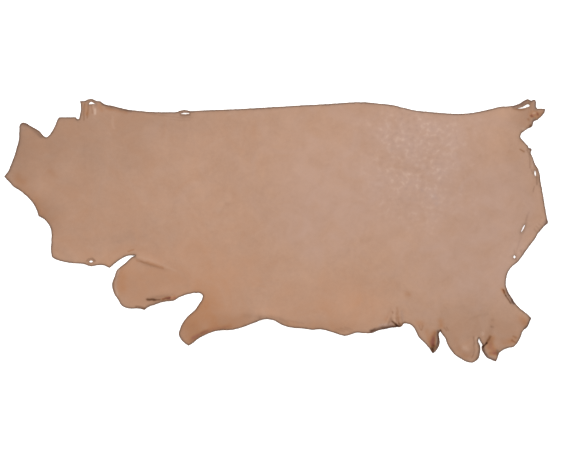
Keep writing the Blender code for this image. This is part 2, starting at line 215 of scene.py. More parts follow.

# Creases, pulls, gleams and stains of the grain, with shade and highlights painted into their colour. A dark
# tone is painted shade: in creases, over the crease's own darker leather, and in hollows, on shaded flanks of
# folds and under curled rims, where a grey hue is partly painted shade and partly the grey of the cut edge. A
# light tone is mostly a painted highlight on ridges and gleams. Columns: name, the mark's half width in
# millimetres, its height (below 0 is a groove), its tone from -1 dark to 1 light, its hue from -1 grey to 1 rust
# and 2 red, and its points.
MARKS = (
    ("withers pull, left", 4, -0.5, -0.22, 0.2, ((-843, 557), (-847, 522), (-845, 487))),
    ("withers pull, middle", 4, -0.4, -0.18, 0.2, ((-825, 553), (-828, 522), (-832, 496))),
    ("withers pull, right", 4, -0.4, -0.2, 0.2, ((-812, 553), (-808, 518))),
    ("withers fleck", 4, 0.3, 0.5, -0.2, ((-796, 534), (-795, 514))),
    ("withers gleam", 5, 0.2, 0.14, 0, ((-806, 553), (-798, 512))),
    ("withers stain, left", 12, 0, 0, 0.55, ((-838, 545), (-832, 515))),
    ("withers stain, right", 10, 0, 0, 0.5, ((-778, 550), (-768, 532))),
    ("withers rim stain", 8, 0, -0.05, 0.5, ((-745, 540), (-700, 530), (-660, 522))),
    ("withers shade", 6, 0, -0.35, -0.5, ((-764, 556), (-722, 543), (-682, 534), (-640, 526))),
    ("withers streak", 6, 0, 0.1, 0.1, ((-718, 500), (-720, 469), (-713, 452))),
    ("back hole crease", 4, -0.4, -0.28, 0, ((-420, 507), (-398, 507), (-378, 509))),
    ("back hole pull, upper", 3, -0.3, -0.12, 0, ((-366, 498), (-414, 496), (-476, 504), (-555, 513))),
    ("back hole pull, lower", 3, -0.3, -0.1, 0, ((-379, 487), (-423, 485), (-467, 491))),
    ("throat hole crease", 4, -0.4, -0.3, 0, ((-834, -134), (-825, -124), (-810, -123), (-797, -131))),
    ("tail strap shade", 8, 0, -0.42, -0.8, ((1045, 547), (1075, 556), (1100, 571))),
    ("tail end rim", 5, 0, -0.35, -0.8, ((1118, 571), (1140, 571))),
    ("tail end shade", 8, 0, -0.1, -0.7, ((1138, 562), (1137, 538))),
    ("tail hole crease", 4, -0.3, -0.2, 0.5, ((1046, 536), (1070, 531), (1096, 535))),
    ("tail tip stain", 16, 0, 0, 0.8, ((1129, 512), (1161, 504))),
    ("tail pit, upper", 5, -0.3, -0.33, 1, ((1147, 518), (1150, 511))),
    ("tail pit, middle", 5, -0.3, -0.28, 1, ((1122, 506), (1125, 501))),
    ("tail pit, lower", 5, -0.2, -0.2, 0.6, ((1109, 491), (1111, 487))),
    ("tail gleam", 4, 0.4, 0.2, 0, ((1130, 515), (1144, 518))),
    ("tail knot", 5, -0.5, -0.5, 0, ((1119, 463), (1119, 456))),
    ("tail knot rim", 6, 0, -0.2, -0.7, ((1133, 492), (1125, 474))),
    ("tail streak", 5, 0.3, 0.15, 0, ((1086, 447), (1104, 445))),
    ("tail root crease", 4, -0.4, -0.35, 0.6, ((1075, 356), (1089, 349))),
    ("rump nub", 6, 0, -0.6, -0.9, ((1117, 359), (1122, 356))),
    ("rump corner nub", 8, 0, -0.6, -0.9, ((1190, 42), (1184, 28))),
    ("rump crease", 4, -0.4, -0.2, 0.1, ((1104, 355), (1115, 328), (1117, 276))),
    ("rump gleam", 4, 0.3, 0.12, -0.2, ((1126, 333), (1128, 284))),
    ("rump hole pull, upper", 3, -0.3, -0.2, 0, ((1122, 267), (1130, 249))),
    ("rump hole pull, lower", 3, -0.3, -0.2, 0, ((1135, 196), (1130, 170))),
    ("rump fold line", 4, -0.5, -0.35, 0, ((1146, 236), (1147, 205))),
    ("thigh hole crease", 5, -0.3, -0.08, 0, ((1102, 42), (1097, 20), (1089, -2))),
    ("thigh hole pull, upper", 4, -0.3, -0.08, 0, ((1113, 82), (1100, 47))),
    ("thigh hole pull, lower", 4, -0.3, -0.08, 0, ((1080, 3), (1069, -32))),
    ("thigh wrinkle, inner", 4, -0.4, -0.14, 0, ((1135, 7), (1157, -19))),
    ("thigh wrinkle, middle", 4, -0.4, -0.14, 0, ((1144, 20), (1170, -6))),
    ("thigh wrinkle, outer", 4, -0.4, -0.14, 0, ((1157, 29), (1183, 7))),
    ("thigh long line", 4, -0.3, -0.1, 0, ((1104, 69), (1091, 12), (1069, -54), (1049, -112))),
    ("thigh point pull, lower", 3, -0.3, -0.2, 0, ((1051, -120), (1064, -138))),
    ("thigh point pull, left", 3, -0.3, -0.2, 0, ((1047, -85), (1047, -98))),
    ("thigh point pull, right", 3, -0.3, -0.2, 0, ((1078, -85), (1078, -98))),
    ("thigh tuck", 4, -1, -0.55, 0.4, ((1000, -260), (1010, -284))),
    ("thigh tuck, lower", 4, -1, -0.8, 0.4, ((1011, -287), (1022, -302), (1032, -319))),
    ("thigh tuck stain", 8, 0, -0.03, 1.1, ((995, -258), (1003, -268))),
    ("thigh tuck gleam", 4, 0.5, 0.12, 0, ((1007, -266), (1020, -287), (1033, -306))),
    ("thigh tuck rim", 5, 0, -0.4, -1, ((1015, -262), (1031, -291), (1041, -312), (1046, -322))),
    ("thigh tuck wedge", 6, 0, -0.4, -1, ((1037, -308), (1042, -317))),
    ("heel stain", 20, 0, -0.03, 0.7, ((1078, -389), (1098, -412))),
    ("heel stain, lower", 18, 0, -0.02, 0.6, ((1004, -490), (1046, -478))),
    ("heel rim", 6, 0, -0.5, -0.9, ((1117, -375), (1116, -395), (1105, -418), (1094, -428))),
    ("heel crease, upper", 4, -0.3, -0.2, 0.5, ((1042, -464), (1056, -470))),
    ("heel crease, lower", 4, -0.3, -0.2, 0.5, ((1036, -482), (1052, -492))),
    ("hock crease", 4.5, -1, -0.8, 0, ((907, -512), (917, -502), (925, -494))),
    ("hock crease, upper", 6, -0.5, -0.42, 0.6, ((925, -494), (933, -480), (941, -466))),
    ("hock crease stain", 12, 0, -0.05, 0.6, ((944, -492), (950, -474))),
    ("hock lobe rim", 7, 0, -0.6, -0.8, ((910, -510), (914, -532), (932, -554), (962, -569))),
    ("hock shade", 15, -0.3, -0.08, 0.1, ((937, -470), (944, -442), (950, -405))),
    ("hock pit, upper", 6, -0.2, -0.12, 0, ((948, -393), (956, -393))),
    ("hock pit, lower", 5, -0.3, -0.25, 0, ((947, -422), (953, -423))),
    ("hock gleam", 6, 0.5, 0.15, -0.2, ((908, -450), (909, -455))),
    ("hock rim gleam", 4, 0.3, 0.15, 0, ((921, -534), (937, -552), (950, -560))),
    ("hock stain", 17, 0, -0.03, 1.1, ((942, -512), (962, -532))),
    ("hock stain, lower", 8, 0, -0.07, 1.1, ((942, -539), (966, -542))),
    ("hock rim", 7, 0, -0.4, -0.8, ((970, -527), (976, -556))),
    ("hock soft wrinkle", 6, -0.3, -0.06, 0, ((853, -389), (888, -376), (928, -365))),
    ("middle lobe gleam", 9, 0, 0.12, 0, ((822, -512), (840, -521))),
    ("middle lobe pull, dark", 4, -0.5, -0.22, 0, ((869, -468), (871, -534), (862, -560))),
    ("middle lobe pull, light", 4, 0.4, 0.12, 0, ((880, -468), (884, -534))),
    ("middle lobe pull, rim", 5, -0.4, -0.25, -0.3, ((893, -481), (891, -534), (880, -565))),
    ("middle lobe margin", 14, 0, -0.02, 0.25, ((792, -481), (805, -525), (831, -552))),
    ("middle lobe foot", 10, 0, -0.02, 0.35, ((827, -547), (875, -552))),
    ("stifle wedge", 12, -1, -0.28, 1.8, ((695, -452), (690, -470), (687, -500))),
    ("stifle flank stain", 11, 0, -0.02, 0.5, ((664, -440), (672, -490))),
    ("stifle tip shade", 9, -0.5, -0.55, 0.6, ((689, -508), (687, -516))),
    ("stifle tip edge", 9, -0.5, -0.9, -0.4, ((687, -522), (687, -538))),
    ("stifle rim", 6, 0, -0.65, -0.9, ((711, -440), (713, -470), (712, -494), (702, -516))),
    ("stifle strip", 4, 0, -0.1, -0.7, ((704, -455), (704, -497))),
    ("stifle pull, fore", 4, -0.3, -0.14, 0.2, ((628, -418), (637, -436))),
    ("stifle pull, hind", 4, -0.3, -0.14, 0.2, ((645, -420), (640, -438))),
    ("stifle slit pit", 3.5, -0.4, -0.85, 0.3, ((723, -437), (724, -442))),
    ("stifle slit wrinkle, fore", 3.5, -0.3, -0.16, 0.2, ((739, -426), (748, -440))),
    ("stifle slit wrinkle, hind", 3.5, -0.3, -0.16, 0.2, ((750, -426), (757, -438))),
    ("stifle root stain", 13, 0, -0.02, 0.9, ((722, -398), (724, -418))),
    ("flank stain", 16, 0, -0.02, 0.5, ((625, -405), (640, -412))),
    ("pucker hollow", 9, -0.8, -0.1, 0.3, ((537, -382), (539, -404))),
    ("pucker crease", 3.6, -1.2, -0.95, 0.3, ((511, -398), (521, -407), (531, -418))),
    ("pucker crease, rim", 3.5, -0.8, -0.7, 0, ((531, -419), (545, -417))),
    ("pucker line, hind", 3, -0.5, -0.35, 0.2, ((538, -406), (545, -409))),
    ("pucker ridge gleam", 3.5, 0.6, 0.16, 0, ((518, -393), (531, -404))),
    ("pucker gleam, fore", 4, 0.3, 0.08, 0.2, ((478, -388), (495, -391))),
    ("pucker flank, fore", 9, -0.8, -0.1, 0.2, ((484, -393), (494, -375), (505, -352))),
    ("pucker pit, upper", 4, -0.4, -0.3, 0.2, ((512, -358), (513, -363))),
    ("pucker pit, lower", 3.5, -0.4, -0.25, 0.2, ((507, -388), (507, -391))),
    ("pucker flank, hind", 7, -0.6, -0.13, 0.3, ((533, -340), (533, -366))),
    ("pucker edge", 9, -0.6, -0.08, -0.3, ((552, -358), (556, -388))),
    ("pucker rim, hind", 5, 0, -0.3, 0.3, ((549, -411), (566, -402))),
    ("rolled rim", 7, 0, -0.75, -0.6, ((418, -441), (465, -427), (508, -422), (531, -421))),
    ("rolled rim strip", 5, 0, -0.05, -0.7, ((455, -416), (512, -409))),
    ("belly wave shade, fore", 12, -0.3, -0.10, 0, ((-137, -373), (-106, -377), (-71, -378))),
    (
        "belly wave shade, hind", 8, -0.3, -0.14, 0,
        ((-71, -380), (-44, -376), (-18, -378), (17, -387), (48, -402)),
    ),
    ("belly wave gleam", 16, 0, 0.06, 0.3, ((-84, -354), (-18, -358))),
    ("belly streak", 4, -0.3, -0.08, 0, ((52, -395), (123, -409))),
    ("belly wrinkle, fore", 4, -0.3, -0.12, 0, ((264, -433), (299, -444))),
    ("belly wrinkle, middle", 4, -0.3, -0.12, 0, ((281, -428), (330, -442))),
    ("belly wrinkle, hind", 4, -0.3, -0.12, 0, ((303, -424), (334, -435))),
    ("elbow ridge gleam", 5, 0, 0.07, 0, ((-612, -114), (-568, -124), (-511, -145), (-445, -175))),
    ("elbow ridge shade", 5, 0, -0.09, 0.4, ((-612, -131), (-568, -140), (-533, -151), (-498, -163))),
    ("elbow tuck, fore", 5.5, -1.5, -0.88, 0.2, ((-566, -302), (-550, -303), (-535, -304))),
    ("elbow tuck, middle", 4.5, -1, -0.7, 0.3, ((-527, -304), (-510, -304))),
    ("elbow tuck, hind", 6, -1.5, -0.55, 2.3, ((-497, -302), (-485, -298), (-470, -296))),
    ("elbow slit wrinkle", 3.5, -0.3, -0.14, 0.5, ((-651, -91), (-627, -84))),
    ("elbow tuck stain", 8, 0, 0, 1.2, ((-462, -298), (-450, -295))),
    ("elbow lobe rim", 4, 0, 0.12, -0.5, ((-690, -172), (-703, -204), (-708, -252), (-697, -284))),
    ("elbow lobe blush", 24, 0, 0, 0.35, ((-676, -190), (-680, -250))),
    ("elbow foot", 5, 0, -0.4, 0, ((-616, -334), (-594, -336), (-577, -343))),
    ("shank rim", 12, 0, -0.1, 0.5, ((-373, -484), (-333, -456), (-282, -437), (-203, -421))),
    ("shank rim, darker", 7, 0, -0.16, 0.5, ((-330, -450), (-303, -437))),
    ("shank blush", 9, 0, -0.02, 0.8, ((-366, -470), (-345, -460))),
    ("nose stain", 20, 0, -0.04, 0.35, ((-1137, 240), (-1110, 223))),
    ("cheek rim stain", 26, 0, -0.02, 0.3, ((-1130, 205), (-1085, 150), (-1050, 95), (-1010, 50))),
    ("neck smudge", 15, 0, -0.04, 0.25, ((-995, 258), (-968, 240))),
    ("neck edge rim", 10, 0, -0.12, -0.2, ((-1122, 452), (-1131, 377), (-1153, 311), (-1180, 249))),
    ("poll rim", 8, 0, -0.3, -0.3, ((-1122, 467), (-1096, 467), (-1065, 443), (-1034, 414))),
)

# Small scars and light flecks. The light flecks on the polished butt are painted sheen. Columns: x, y and radius
# in millimetres, tone and hue.
SPOTS = (
    (-216, 117, 8, -0.1, 0),
    (-253, 89, 8, 0.06, -0.3),
    (-31, 434, 9, -0.06, 0),
    (-108, 370, 7, -0.06, 0),
    (2, 95, 9, -0.05, 0),
    (580, -279, 14, -0.1, 0.7),
    (814, -204, 9, -0.05, 0),
    (281, -90, 9, -0.05, 0),
    (316, -90, 9, -0.05, 0),
    (-638, -2, 9, -0.05, 0),
    (495, 465, 9, 0.14, -0.3),
    (497, 355, 9, 0.12, -0.2),
    (519, 326, 8, 0.12, -0.2),
    (563, 227, 8, 0.1, -0.2),
    (620, 293, 7, 0.1, -0.3),
    (646, 282, 8, 0.12, -0.3),
    (668, 258, 7, 0.1, -0.3),
    (778, 364, 9, 0.16, -0.2),
    (787, 342, 7, 0.1, -0.2),
    (809, 188, 9, 0.1, -0.2),
    (607, 135, 8, -0.06, -0.3),
    (638, 179, 8, -0.07, -0.3),
    (695, 148, 12, -0.07, -0.4),
    (708, 117, 9, -0.06, -0.4),
    (572, 139, 8, -0.05, -0.3),
)

# Soft tints of whole regions. Columns: name, x, y, half length and half height in millimetres, the share by
# which the leather is lighter there, its hue, and how far the grain is polished. Polish makes the grain glossier
# and brings pale flecks of painted sheen into its colour.
TINTS = (
    ("neck", -1039, 201, 310, 420, -0.08, 0.05, 0),
    ("withers", -760, 420, 330, 170, -0.1, 0.1, 0),
    ("poll", -1074, 355, 100, 110, -0.04, 0.1, 0),
    ("shoulder", -634, 113, 200, 420, -0.03, 0, 0),
    ("jaw", -800, -10, 300, 190, 0, 0.12, 0),
    ("back line", -300, 520, 420, 90, -0.06, 0, 0),
    ("loin", 250, 130, 270, 360, 0.04, -0.32, 0),
    ("butt", 598, 284, 220, 260, -0.01, -0.35, 1),
    ("butt, upper", 677, 452, 230, 110, 0.02, -0.3, 0.5),
    ("rump", 900, -19, 300, 420, 0, -0.38, 0.1),
    ("belly", 237, -300, 270, 160, 0.02, 0.3, 0),
    ("fore flank", -269, -190, 230, 180, 0.05, 0.33, 0),
    ("shank", -325, -375, 100, 120, -0.04, 0.75, 0),
    ("shank tip", -383, -455, 60, 70, -0.1, 0.45, 0),
    ("tail", 1120, 500, 70, 80, -0.1, 0.3, 0),
    ("elbow lobe", -599, -226, 160, 120, 0, 0.35, 0),
    ("hind lobes", 888, -446, 230, 130, -0.11, 0.25, 0),
    ("rump edge", 1100, 290, 80, 330, -0.05, 0, 0),
    ("nose", -1160, 320, 80, 180, -0.09, 0.1, 0),
    ("cheek", -1050, 60, 110, 90, -0.1, 0.35, 0),
    ("throat", -700, -130, 240, 70, 0.06, 0, 0),
    ("belly, middle", 380, -330, 150, 80, 0.08, 0, 0),
    ("belly rim", 150, -430, 220, 35, -0.08, 0.35, 0),
    ("shank, hind", -170, -410, 110, 45, -0.1, 0.45, 0),
)

# Fields of soft noise. Columns: size, wavelength in millimetres, and seed. The size is in millimetres for the
# wander and the pebble, and otherwise a share of what the field changes.
NOISE_FIELDS = {
    "coarse fray": (0.6, 26, 1),
    "fine fray": (0.4, 11, 2),
    "wander in x": (0.9, 24, 3),
    "wander in y": (0.9, 24, 4),
    "mark strength": (0.18, 70, 5),
    "rim lift": (1, 120, 6),
    "swell": (1, 280, 7),
    "pebble": (0.08, 60, 8),
}

# Waves summed in one field, and how their lengths vary around the field's wavelength
NOISE_WAVES = 16
NOISE_RANGE = (0.7, 1.5)

# How much of the rim lifts, as a step up of its noise, and how far in from the rim the lift reaches
LIFT_BIAS = 0.25
LIFT_REACH = 16 * MM

# The deepest groove and the highest ridge of the grain, as shares of the leather's thickness
DEEPEST_GROOVE = 0.6
HIGHEST_RIDGE = 0.5

# How dark the rim's dark line is around a hole, as a share of the outline's. The line is partly darker
# leather along the cut and partly painted shade where the rim curls down.
DARKENED_AT_HOLES = 0.25

# How sharply a tint ends: the power of its squared distance
TINT_POWER = 1.5

# How many points a lens hole has
LENS_POINTS = 24

# The rim's roundings, drawn at these angles in degrees, and the depth of the rows between the first and the
# last, from 0 at the grain to 1 at the flesh side
GRAIN_TURNS = (0, 30, 60, 90)
FLESH_TURNS = (0, 45, 90)
ROW_DEPTHS = (0, 0.05, 0.3, 0.85, 0.95)

# The materials' slots, and those of the strips between the rows: the grain's colour runs over the rounded rim
GRAIN, CUT, FLESH = range(3)
STRIP_SLOTS = (GRAIN, GRAIN, CUT, CUT, CUT, CUT)

# The mesh is fine within this many half widths of a mark, in millimetres no further than the most, and within
# this share of a fold's narrower reach
MARK_REACH = 2.2
MARK_REACH_MOST = 14
FOLD_REACH = 1.1

# It is fine in the fine band of a rim too, and half as fine in the middle band of rims, marks and folds
FINE_BAND = 5 * MM
MIDDLE_BAND = 20 * MM

# How far distances to the rims and marks are followed, in the mesh and in the tint along the rim
STAMP_REACH = 40 * MM
RIM_TINT_REACH = 60 * MM

# No point of the lattice lies nearer to a rim than this share of its step
RIM_CLEARANCE = 0.6

# Distances worked on at once, which bounds the memory used
CHUNK = 2000

# The triangulation's setting that fills the rim, and the distance under which two points are one
WITHIN_RIM = 1
SAME_POINT = 1e-8

# Noises of the skin's clouding: clouds 0.4 m across, blotches 80 mm, mottle 18 mm and speckle 4 mm. Columns:
# waves to the metre, detail, roughness and distortion of the noise, and how strongly it lightens the grain.
CLOUD_LAYERS = {
    "Clouds": (2.6, 2, 0.5, 0.6, 0.9),
    "Blotches": (12, 3, 0.55, 0.8, 1.1),
    "Mottle": (55, 3, 0.6, 0.5, 0.7),
    "Speckle": (240, 2, 0.6, 0, 0.3),
}

# The soft boxes, which face the hide's middle. Columns: name, place, and width and height, in metres.
SOFT_BOXES = (
    ("key_light", (0.5, 3.0, 2.6), (3.0, 1.6)),
    ("side_light", (-3.4, -0.6, 2.2), (1.6, 2.4)),
)

# The floor's half width, its cells from side to side, and how far it lies under the hide
FLOOR_HALF = 15
FLOOR_CELLS = 8
FLOOR_GAP = 0.3 * MM


def color_property(name, description, default):
    """A colour of the leather or the floor."""
    return FloatVectorProperty(
        name=name, description=description, subtype="COLOR", size=4, min=0, max=1, default=(*default, 1)
    )


class HideSettings(bpy.types.PropertyGroup):
    """Sizes and colours of the leather side."""

    length: FloatProperty(
        name="Length", description="From nose tip to rump", default=HIDE_LENGTH, min=0.5, unit="LENGTH"
    )
    thickness: FloatProperty(
        name="Thickness", description="Of the hide", default=2.4 * MM, min=1 * MM, max=3 * MM, unit="LENGTH"
    )
    shoulder: FloatProperty(
        name="Grain rounding", description="Radius of the rim's upper edge", default=0.9 * MM, unit="LENGTH"
    )
    heel: FloatProperty(
        name="Flesh rounding", description="Radius of the rim's lower edge", default=0.4 * MM, unit="LENGTH"
    )
    fray: FloatProperty(
        name="Fray", description="How far the cut wanders from its line", default=0.5 * MM, unit="LENGTH"
    )
    lift: FloatProperty(
        name="Rim lift", description="How far the dried rim rises in places", default=2.2 * MM, unit="LENGTH"
    )
    swell: FloatProperty(
        name="Swell", description="Height of the long low swells", default=0.8 * MM, unit="LENGTH"
    )
    mesh_step: FloatProperty(
        name="Mesh step", description="Spacing of the points", default=3.5 * MM, min=1 * MM, unit="LENGTH"
    )
    grain_light: color_property("Light grain", "The palest leather", (0.367, 0.214, 0.138))
    grain_dark: color_property("Dark grain", "The darkest plain leather", (0.298, 0.168, 0.105))
    rust: color_property("Rust", "Orange-brown stain", (0.318, 0.144, 0.064))
    madder: color_property("Madder", "Red-brown stain", (0.235, 0.072, 0.045))
    # Ash greys the leather where the hue is below 0, and gives the grey of the painted shade marks
    ash: color_property("Ash", "Greyed leather", (0.347, 0.227, 0.181))
    # Dark leather of the cut, pores and flesh rim; partly painted shade in the rim's line and between flecks
    dark_leather_and_shade: color_property("Dried rim", "Leather along the cut", (0.105, 0.066, 0.048))
    # The crease colour is painted shade too: every dark tone of the marks mixes towards it
    crease: color_property("Crease", "Leather deep in a crease", (0.052, 0.019, 0.009))
    # The gleam colour is painted highlight: the marks' light tone and the polished grain's pale flecks
    gleam: color_property("Gleam", "Worn or stretched leather", (0.560, 0.405, 0.320))
    core: color_property("Core", "Fibres in the cut edge", (0.330, 0.205, 0.132))
    flesh: color_property("Flesh side", "The fibrous back", (0.390, 0.258, 0.172))


class StudioSettings(bpy.types.PropertyGroup):
    """Camera, lights and floor."""

    frame_width: FloatProperty(
        name="Frame width", description="Floor seen from side to side", default=2.508, unit="LENGTH"
    )
    aim_x: FloatProperty(name="Aim X", description="Middle of the picture", default=39 * MM, unit="LENGTH")
    aim_y: FloatProperty(name="Aim Y", description="Middle of the picture", default=12 * MM, unit="LENGTH")
    lens: FloatProperty(name="Lens", description="Focal length in millimetres", default=85, unit="CAMERA")
    key_power: FloatProperty(name="Key light", description="Watts", default=60, unit="POWER")
    side_power: FloatProperty(name="Side light", description="Watts", default=14, unit="POWER")
    sky_strength: FloatProperty(name="Surround", description="Brightness of the white surround", default=1.15)
    floor_glow: FloatProperty(name="Floor glow", description="Light of the lit floor itself", default=0.45)
    floor_color: color_property("Floor", "Colour of the floor", (0.94, 0.94, 0.94))


def unit(vectors):
    """Each row of an array, made one long."""
    return vectors / np.linalg.norm(vectors, axis=-1, keepdims=True)


def soft_noise(points, field):
    """A smooth uneven field over the plan, about between minus its size and its size.

    It is the sum of plane waves whose directions, lengths around the wavelength and phases are drawn from the
    seed, divided by the square root of their number and multiplied by the size.
    """
    size, wavelength, seed = NOISE_FIELDS[field]
    draw = np.random.default_rng(seed)
    angle = draw.uniform(0, 2 * np.pi, NOISE_WAVES)
    length = wavelength * MM * draw.uniform(*NOISE_RANGE, NOISE_WAVES)
    phase = draw.uniform(0, 2 * np.pi, NOISE_WAVES)
    waves = np.column_stack((np.cos(angle), np.sin(angle))) * 2 * np.pi / length[:, None]
    return size * np.sin(points @ waves.T + phase).sum(axis=1) / np.sqrt(NOISE_WAVES)


def smooth_curve(corners, step):
    """Points about one step apart on a cubic through the corners, without the last corner.

    Between two corners the point at share s is the cubic Hermite of the corners and their slopes. A corner's
    slope is the mean of its two chords' slopes, each weighted by the other chord's length.
    """
    corners = np.array(corners, float)
    chords = np.hypot(*np.diff(corners, axis=0).T)
    slopes = np.diff(corners, axis=0) / chords[:, None]
    before, after = chords[:-1, None], chords[1:, None]
    inner = (slopes[:-1] * after + slopes[1:] * before) / (before + after)
    tangents = np.vstack((slopes[:1], inner, slopes[-1:]))
    counts = np.maximum(1, np.round(chords / step)).astype(int)
    piece = np.repeat(np.arange(len(chords)), counts)
    s = ((np.arange(len(piece)) - (np.cumsum(counts) - counts)[piece]) / counts[piece])[:, None]
    chord = chords[piece, None]
    return (
        (1 + 2 * s) * (1 - s) ** 2 * corners[piece]
        + s * (1 - s) ** 2 * chord * tangents[piece]
        + s**2 * (3 - 2 * s) * corners[piece + 1]
        + s**2 * (s - 1) * chord * tangents[piece + 1]
    )


def rim_loop(step):
    """The closed rim, clockwise, in metres: each stretch is a smooth curve to the next one's first point."""
    stretches = list(RIM.values())
    following = stretches[1:] + stretches[:1]
    drawn = [smooth_curve(stretch + after[:1], step / MM) for stretch, after in zip(stretches, following)]
    return np.vstack(drawn) * MM


def straight_run(corners, step):
    """Points about one step apart on the straight pieces between the corners, without the last corner."""
    runs = []
    for start, end in zip(corners[:-1], corners[1:]):
        count = max(1, round(np.hypot(*(end - start)) / step))
        runs.append(start + (end - start) * np.linspace(0, 1, count, endpoint=False)[:, None])
    return np.vstack(runs)


def lens_loop(x0, y0, x1, y1, width):
    """An ellipse whose long axis joins the two ends."""
    start, end = np.array((x0, y0), float), np.array((x1, y1), float)
    along = (end - start) / 2
    across = unit(np.array((-along[1], along[0]))) * width / 2
    angle = np.linspace(0, 2 * np.pi, LENS_POINTS, endpoint=False)[:, None]
    return (start + end) / 2 + np.cos(angle) * along + np.sin(angle) * across


def turned(loop, clockwise):
    """The loop, reversed if it runs the other way round."""
    following = np.roll(loop, -1, axis=0)
    area = (loop[:, 0] * following[:, 1] - loop[:, 1] * following[:, 0]).sum()
    return loop if (area < 0) == clockwise else loop[::-1]


def out_of_leather(loop):
    """Unit vectors in the plan to the left of a loop's run, which point out of the leather on every rim."""
    along = np.roll(loop, -1, axis=0) - np.roll(loop, 1, axis=0)
    return unit(np.column_stack((-along[:, 1], along[:, 0])))


def cut_loops(step, fray):
    """The rim and the holes, each point moved across its cut by two fields of soft noise."""
    closed = [np.array(corners + corners[:1], float) for corners in TORN_HOLES.values()]
    torn = [straight_run(corners, step / MM) * MM for corners in closed]
    lenses = [lens_loop(*row[1:]) * MM for row in LENS_HOLES]
    loops = [turned(rim_loop(step), True)] + [turned(hole, False) for hole in torn + lenses]
    frays = [fray * (soft_noise(loop, "coarse fray") + soft_noise(loop, "fine fray")) for loop in loops]
    return [loop + out_of_leather(loop) * off[:, None] for loop, off in zip(loops, frays)]


def inside(points, loop):
    """True where a ray from the point towards +X crosses the loop an odd number of times."""
    following = np.roll(loop, -1, axis=0)
    x, y = points[:, 0, None], points[:, 1, None]
    (x0, y0), (x1, y1) = loop.T, following.T
    spans = (y < y0) != (y < y1)
    rise = np.where(y1 == y0, 1, y1 - y0)
    return (spans & (x < x0 + (y - y0) * (x1 - x0) / rise)).sum(axis=1) % 2 == 1


def distance_to(points, features, reach):
    """How far each point lies from the nearest feature, and reach where none is nearer."""
    nearest = [
        np.hypot(*(points[i : i + CHUNK, None] - features[None]).transpose(2, 0, 1)).min(axis=1)
        for i in range(0, len(points), CHUNK)
    ]
    return np.minimum(np.concatenate(nearest), reach)


def spread(offset, along, height, left, right):
    """A crest's height over points: height * exp(-(d / w)^2), with d the distance to the crest.

    w is the reach to the left or to the right of it. offset is measured from the crest's first point, and
    height holds the crest's height at its two ends.
    """
    share = np.clip(offset @ along / max(along @ along, SAME_POINT), 0, 1)
    distance = np.hypot(*(offset - share[:, None] * along).T)
    on_left = along[0] * offset[:, 1] - along[1] * offset[:, 0] > 0
    reach = np.where(on_left, left, right)
    return (height[0] + share * (height[1] - height[0])) * np.exp(-((distance / reach) ** 2))


def fold_height(points):
    """How high the underside lies at each point: the folds' sum less the fold's foot, and never below 0."""
    total = np.zeros(len(points))
    for _, left, right, crest in FOLDS:
        crest = np.array(crest, float) * MM
        rise = np.zeros(len(points))
        for start, end in zip(crest[:-1], crest[1:]):
            piece = spread(points - start[:2], end[:2] - start[:2], (start[2], end[2]), left * MM, right * MM)
            rise = np.maximum(rise, piece)
        total += rise
    return np.maximum(total - FOLD_FOOT, 0)


def wandering(points):
    """The points, moved a little by soft noise, so that what is drawn through them isn't straight."""
    wander = np.column_stack((soft_noise(points, "wander in x"), soft_noise(points, "wander in y")))
    return points + wander * MM


def mark_cover(points, half_width, route):
    """How much of a mark each point has: exp(-(d / w)^2) at distance d from the nearest of its pieces."""
    cover = np.zeros(len(points))
    for start, end in zip(route[:-1], route[1:]):
        cover = np.maximum(cover, spread(points - start, end - start, (1, 1), half_width, half_width))
    return cover


def grain_marks(points):
    """The marks' height at each point, and the tone, hue, shade and polish that the tables give it."""
    height, tone, hue, shade, polish_and_sheen = np.zeros((5, len(points)))
    moved = wandering(points)
    strength = 1 + soft_noise(points, "mark strength")
    # A mark's dark tone is painted shade, its light tone mostly a painted highlight
    for _, half_width, relief, light, warm, route in MARKS:
        cover = mark_cover(moved, half_width * MM, np.array(route, float) * MM) * strength
        height += cover * relief * MM
        tone += cover * light
        hue += cover * warm
    for x, y, radius, light, warm in SPOTS:
        distance = np.hypot(*(moved - np.array((x, y)) * MM).T)
        cover = np.exp(-((distance / (radius * MM)) ** 2))
        tone += cover * light
        hue += cover * warm
    for _, x, y, half_x, half_y, light, warm, sheen in TINTS:
        scaled = (points - np.array((x, y)) * MM) / (np.array((half_x, half_y)) * MM)
        cover = np.exp(-((scaled**2).sum(axis=1) ** TINT_POWER))
        shade += cover * light
        hue += cover * warm
        polish_and_sheen += cover * sheen
    return height, {"tone": tone, "hue": hue, "shade": shade, "polish_and_sheen": polish_and_sheen}


def feature_points(step):
    """Points along the marks and fold crests, and the distance within which the mesh is fine around each."""
    routes = [
        (route, min(MARK_REACH * half_width, MARK_REACH_MOST) * MM) for _, half_width, _, _, _, route in MARKS
    ]
    routes += [
        ([place[:2] for place in crest], FOLD_REACH * min(left, right) * MM)
        for _, left, right, crest in FOLDS
    ]
    points, reaches = [], []
    for route, reach in routes:
        corners = np.array(route, float) * MM
        run = np.vstack((straight_run(corners, step), corners[-1:]))
        points.append(run)
        reaches.append(np.full(len(run), reach))
    return np.vstack(points), np.concatenate(reaches)


